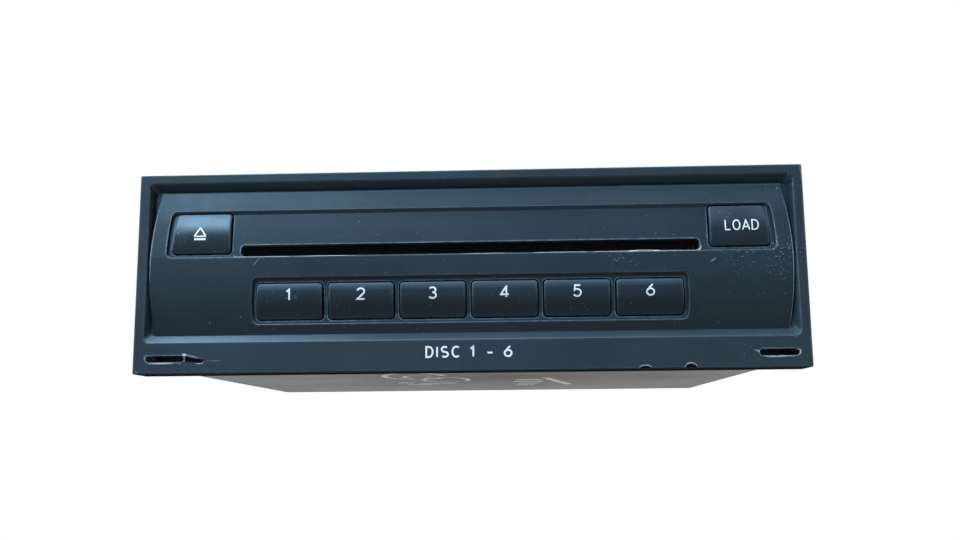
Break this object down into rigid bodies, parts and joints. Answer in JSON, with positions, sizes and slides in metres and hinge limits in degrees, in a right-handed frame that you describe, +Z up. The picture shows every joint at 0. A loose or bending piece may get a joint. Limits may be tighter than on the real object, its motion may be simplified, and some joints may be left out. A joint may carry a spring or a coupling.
{
  "type": "car disc changer",
  "caption": "Slot-loading in-dash disc changer: barrel-fronted bezel with a disc slot and push buttons, sheet-steel case, disc trays on a lift and a swinging pickup arm.",
  "frame": {"origin": "under the middle of the object, at the height of the bezel's lower edge", "axes": "+X to the right as seen from the front, +Y from the front face to the rear, +Z up"},
  "size_m": [0.188, 0.18, 0.057],
  "materials": {
    "bezel_plastic": "fine-textured blue-grey plastic",
    "button_plastic": "satin blue-grey plastic",
    "sheet_steel": "zinc-plated sheet",
    "screw_steel": "plated steel",
    "motor_steel": "plated steel",
    "circuit_board": "solder mask",
    "chip_plastic": "moulded epoxy",
    "lamp_plastic": "clear epoxy",
    "black_plastic": "moulded",
    "white_plastic": "moulded acetal",
    "rubber": "matt",
    "felt": "short felt",
    "lens_glass": "coated",
    "ribbon": "film",
    "jack_metal": "plated"
  },
  "bodies": {
    "case": {"bezel": "bezel_plastic", "front_board": "circuit_board", "push_switches": "chip_plastic", "front_lamps": "lamp_plastic", "flat_cable": "ribbon", "shutter_spring": "screw_steel", "slot_felts": "felt", "front_plate": "sheet_steel", "case_tub": "sheet_steel", "top_cover": "sheet_steel", "case_screws": "screw_steel", "rear_stud": "screw_steel", "power_connector": "black_plastic", "picture_jacks": "jack_metal", "main_board": "circuit_board", "board_parts": "chip_plastic", "mechanism_base": "sheet_steel", "mechanism_top": "sheet_steel", "rubber_dampers": "rubber", "lift_motor": "motor_steel", "arm_motor": "motor_steel", "load_motor": "motor_steel", "disc_guide": "black_plastic"},
    "eject_button": {"eject_button": "button_plastic"},
    "load_button": {"load_button": "button_plastic"},
    "disc_button_1": {"disc_button_1": "button_plastic"},
    "disc_button_2": {"disc_button_2": "button_plastic"},
    "disc_button_3": {"disc_button_3": "button_plastic"},
    "disc_button_4": {"disc_button_4": "button_plastic"},
    "disc_button_5": {"disc_button_5": "button_plastic"},
    "disc_button_6": {"disc_button_6": "button_plastic"},
    "dust_shutter": {"dust_shutter": "black_plastic"},
    "side_latch_left": {"side_latch_left": "screw_steel"},
    "side_latch_right": {"side_latch_right": "screw_steel"},
    "upper_trays": {"disc_tray_1": "black_plastic", "disc_tray_2": "black_plastic", "disc_tray_3": "black_plastic"},
    "lower_trays": {"disc_tray_4": "black_plastic", "disc_tray_5": "black_plastic", "disc_tray_6": "black_plastic"},
    "lift_screw_front": {"lift_screw_front": "screw_steel"},
    "lift_screw_rear": {"lift_screw_rear": "screw_steel"},
    "side_rack": {"side_rack": "white_plastic"},
    "lift_motor_gear": {"lift_motor_gear": "white_plastic"},
    "pickup_arm": {"pickup_arm": "sheet_steel", "guide_rods": "screw_steel", "spindle_motor": "motor_steel", "sled_motor": "motor_steel"},
    "arm_motor_gear": {"arm_motor_gear": "white_plastic"},
    "clamp_plate": {"clamp_plate": "sheet_steel"},
    "clamper": {"clamper": "black_plastic"},
    "turntable": {"turntable": "black_plastic"},
    "pickup_sled": {"pickup_sled": "black_plastic", "objective_lens": "lens_glass"},
    "sled_screw": {"sled_screw": "screw_steel"},
    "roller": {"roller_shaft": "screw_steel", "loading_roller": "rubber", "roller_gear": "white_plastic"},
    "load_motor_gear": {"load_motor_gear": "white_plastic"}
  },
  "joints": [
    {"name": "eject_button_press", "type": "slide", "parent": "case", "child": "eject_button", "axis": [0, 1, 0], "range_m": [0, 0.0006], "stiffness_N_per_m": 700},
    {"name": "load_button_press", "type": "slide", "parent": "case", "child": "load_button", "axis": [0, 1, 0], "range_m": [0, 0.0006], "stiffness_N_per_m": 700},
    {"name": "disc_button_1_press", "type": "slide", "parent": "case", "child": "disc_button_1", "axis": [0, 1, 0], "range_m": [0, 0.0006], "stiffness_N_per_m": 700},
    {"name": "disc_button_2_press", "type": "slide", "parent": "case", "child": "disc_button_2", "axis": [0, 1, 0], "range_m": [0, 0.0006], "stiffness_N_per_m": 700},
    {"name": "disc_button_3_press", "type": "slide", "parent": "case", "child": "disc_button_3", "axis": [0, 1, 0], "range_m": [0, 0.0006], "stiffness_N_per_m": 700},
    {"name": "disc_button_4_press", "type": "slide", "parent": "case", "child": "disc_button_4", "axis": [0, 1, 0], "range_m": [0, 0.0006], "stiffness_N_per_m": 700},
    {"name": "disc_button_5_press", "type": "slide", "parent": "case", "child": "disc_button_5", "axis": [0, 1, 0], "range_m": [0, 0.0006], "stiffness_N_per_m": 700},
    {"name": "disc_button_6_press", "type": "slide", "parent": "case", "child": "disc_button_6", "axis": [0, 1, 0], "range_m": [0, 0.0006], "stiffness_N_per_m": 700},
    {"name": "shutter_swing", "type": "hinge", "parent": "case", "child": "dust_shutter", "pos_m": [0, -0.0842, 0.0382], "axis": [1, 0, 0], "range_deg": [0, 75], "stiffness_Nm_per_rad": 0.002},
    {"name": "latch_left_press", "type": "hinge", "parent": "case", "child": "side_latch_left", "pos_m": [-0.0885, -0.064, 0.026], "axis": [0, 0, 1], "range_deg": [-5, 0], "stiffness_Nm_per_rad": 0.4},
    {"name": "latch_right_press", "type": "hinge", "parent": "case", "child": "side_latch_right", "pos_m": [0.0885, -0.064, 0.026], "axis": [0, 0, 1], "range_deg": [0, 5], "stiffness_Nm_per_rad": 0.4},
    {"name": "upper_tray_lift", "type": "slide", "parent": "case", "child": "upper_trays", "axis": [0, 0, 1], "range_m": [0, 0.007]},
    {"name": "lower_tray_lift", "type": "slide", "parent": "case", "child": "lower_trays", "axis": [0, 0, 1], "range_m": [-0.007, 0]},
    {"name": "lift_screw_front_spin", "type": "hinge", "parent": "case", "child": "lift_screw_front", "pos_m": [0.074, -0.039, 0.03], "axis": [0, 0, 1], "range_deg": [-157.51, 0]},
    {"name": "lift_screw_rear_spin", "type": "hinge", "parent": "case", "child": "lift_screw_rear", "pos_m": [0.074, 0.059, 0.03], "axis": [0, 0, 1], "range_deg": [-157.51, 0]},
    {"name": "side_rack_slide", "type": "slide", "parent": "case", "child": "side_rack", "axis": [0, 1, 0], "range_m": [-0.01759, 0]},
    {"name": "lift_motor_gear_spin", "type": "hinge", "parent": "case", "child": "lift_motor_gear", "pos_m": [0.0756, 0.01, 0.0135], "axis": [0, 0, 1], "range_deg": [-210.01, 0]},
    {"name": "arm_swing", "type": "hinge", "parent": "case", "child": "pickup_arm", "pos_m": [-0.075, 0.069, 0.03], "axis": [0, 0, 1], "range_deg": [0, 53.25]},
    {"name": "arm_motor_gear_spin", "type": "hinge", "parent": "case", "child": "arm_motor_gear", "pos_m": [-0.0678, 0.05653, 0.024], "axis": [0, 0, 1], "range_deg": [-106.51, 0]},
    {"name": "clamp_press", "type": "slide", "parent": "pickup_arm", "child": "clamp_plate", "axis": [0, 0, -1], "range_m": [0, 0.0015], "stiffness_N_per_m": 600},
    {"name": "clamper_spin", "type": "hinge", "parent": "clamp_plate", "child": "clamper", "pos_m": [-0.075, -0.0246, 0.038], "axis": [0, 0, 1], "continuous": true},
    {"name": "turntable_spin", "type": "hinge", "parent": "pickup_arm", "child": "turntable", "pos_m": [-0.075, -0.0246, 0.033], "axis": [0, 0, 1], "continuous": true},
    {"name": "sled_travel", "type": "slide", "parent": "pickup_arm", "child": "pickup_sled", "axis": [0, 1, 0], "range_m": [0, 0.034]},
    {"name": "sled_screw_spin", "type": "hinge", "parent": "pickup_arm", "child": "sled_screw", "pos_m": [-0.0805, -0.0046, 0.0312], "axis": [0, 1, 0], "range_deg": [0, 2040.01]},
    {"name": "roller_spin", "type": "hinge", "parent": "case", "child": "roller", "pos_m": [0, -0.057, 0.02965], "axis": [1, 0, 0], "continuous": true},
    {"name": "load_motor_gear_spin", "type": "hinge", "parent": "case", "child": "load_motor_gear", "pos_m": [0.0675, -0.06243, 0.01985], "axis": [1, 0, 0], "continuous": true}
  ],
  "couplings": [
    {"joint": "lower_tray_lift", "follows": "upper_tray_lift", "ratio": -1},
    {"joint": "lift_screw_front_spin", "follows": "upper_tray_lift", "rad_per_m": -392.7},
    {"joint": "lift_screw_rear_spin", "follows": "upper_tray_lift", "rad_per_m": -392.7},
    {"joint": "side_rack_slide", "follows": "upper_tray_lift", "ratio": -2.5133},
    {"joint": "lift_motor_gear_spin", "follows": "upper_tray_lift", "rad_per_m": -523.6},
    {"joint": "arm_motor_gear_spin", "follows": "arm_swing", "ratio": -2},
    {"joint": "sled_screw_spin", "follows": "sled_travel", "rad_per_m": 1047.2},
    {"joint": "load_motor_gear_spin", "follows": "roller_spin", "ratio": -1.3333}
  ]
}
